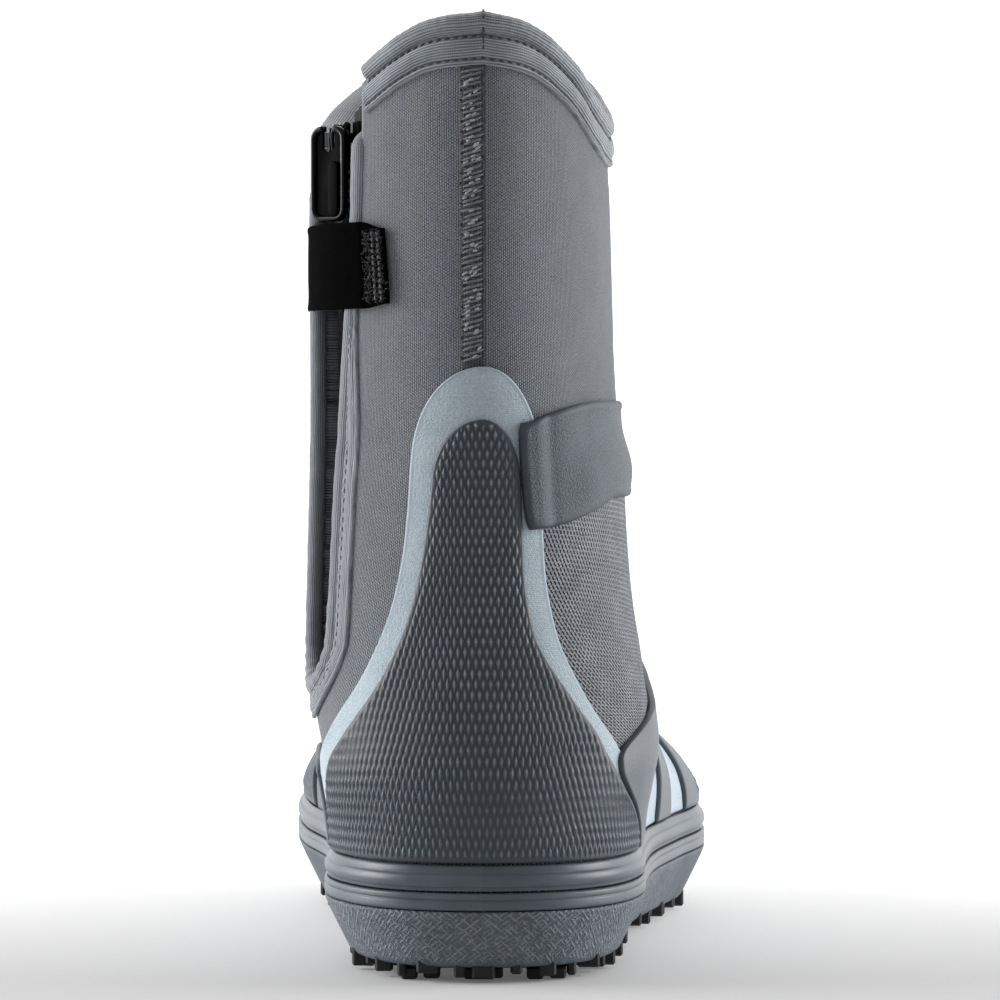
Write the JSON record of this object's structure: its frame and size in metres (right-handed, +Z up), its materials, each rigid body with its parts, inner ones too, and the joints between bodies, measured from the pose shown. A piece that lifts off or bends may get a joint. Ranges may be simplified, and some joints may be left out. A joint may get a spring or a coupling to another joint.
{
  "type": "deck boot",
  "caption": "Right-foot neoprene sailing boot with a zip slot, a guard tab over the zip pull, rubber heel, toe and side overlays, an ankle strap and a lugged deck sole.",
  "frame": {"origin": "on the ground, under the centre of the boot's bounding box", "axes": "+Y from heel to toe, +X to the foot's outer side, +Z up the shaft"},
  "size_m": [0.1186, 0.3, 0.2455],
  "materials": {
    "jersey": "knitted nylon jersey over neoprene, matt",
    "pale_rubber": "pale moulded rubber with a fine pebble grain",
    "dark_rubber": "dark moulded rubber with raised diamonds",
    "strap_rubber": "rubberised webbing with a fine pebble grain",
    "foxing_rubber": "smooth satin rubber tape",
    "sole_rubber": "matt rubber with a cross-hatched grain",
    "tread_rubber": "black carbon rubber",
    "twill": "coarse abrasion-resistant twill",
    "foam": "moulded foam and lasting board",
    "black_web": "hook-and-loop tape",
    "black_plastic": "glossy injection-moulded plastic"
  },
  "bodies": {
    "boot": {"outsole": "sole_rubber", "lower_foxing": "foxing_rubber", "upper_foxing": "foxing_rubber", "midsole": "foam", "lasting_board": "foam", "insole": "foam", "heel_tread": "tread_rubber", "forefoot_tread": "tread_rubber", "outer_quarter": "jersey", "inner_quarter": "jersey", "vamp": "jersey", "collar_binding": "jersey", "collar_band": "jersey", "back_seam": "jersey", "zip_binding": "jersey", "zip_facing": "jersey", "zip_gusset": "jersey", "zip_tape_back": "black_web", "zip_tape_front": "black_web", "guard_anchor": "black_web", "guard_loop_patch": "black_web", "strap_loop_patch": "black_web", "zip_teeth_back": "black_plastic", "zip_teeth_front": "black_plastic", "zip_top_stop_back": "black_plastic", "zip_top_stop_front": "black_plastic", "zip_bottom_stop": "black_plastic", "heel_trim": "pale_rubber", "outer_side_wrap": "pale_rubber", "inner_side_wrap": "pale_rubber", "heel_counter": "dark_rubber", "toe_cap": "dark_rubber", "instep_pad": "dark_rubber", "outer_rib_1": "dark_rubber", "outer_rib_2": "dark_rubber", "outer_rib_3": "dark_rubber", "inner_rib_1": "dark_rubber", "inner_rib_2": "dark_rubber", "inner_rib_3": "dark_rubber", "ankle_strap": "strap_rubber", "mesh_panel": "twill"},
    "slider": {"zip_slider": "black_plastic", "slider_bridge": "black_plastic"},
    "pull": {"pull_link": "black_plastic", "zip_pull": "black_plastic"},
    "guard": {"guard_tab": "black_web", "guard_hook": "black_web"},
    "strap_end": {"strap_flap": "strap_rubber", "strap_hook_patch": "black_web"}
  },
  "joints": [
    {"name": "zip_slide", "type": "slide", "parent": "boot", "child": "slider", "axis": [0, 0, -1], "range_m": [0, 0.117]},
    {"name": "pull_hinge", "type": "hinge", "parent": "slider", "child": "pull", "pos_m": [-0.04263, -0.09048, 0.2178], "axis": [-0.5434, 0.8394, 0], "range_deg": [0, 70]},
    {"name": "guard_hinge", "type": "hinge", "parent": "boot", "child": "guard", "pos_m": [-0.0357, -0.1166, 0.182], "axis": [0, 0, 1], "range_deg": [0, 115]},
    {"name": "strap_hinge", "type": "hinge", "parent": "boot", "child": "strap_end", "pos_m": [0.0285, -0.027, 0.1327], "axis": [-0.007, 0.208, -0.9781], "range_deg": [0, 110]}
  ]
}
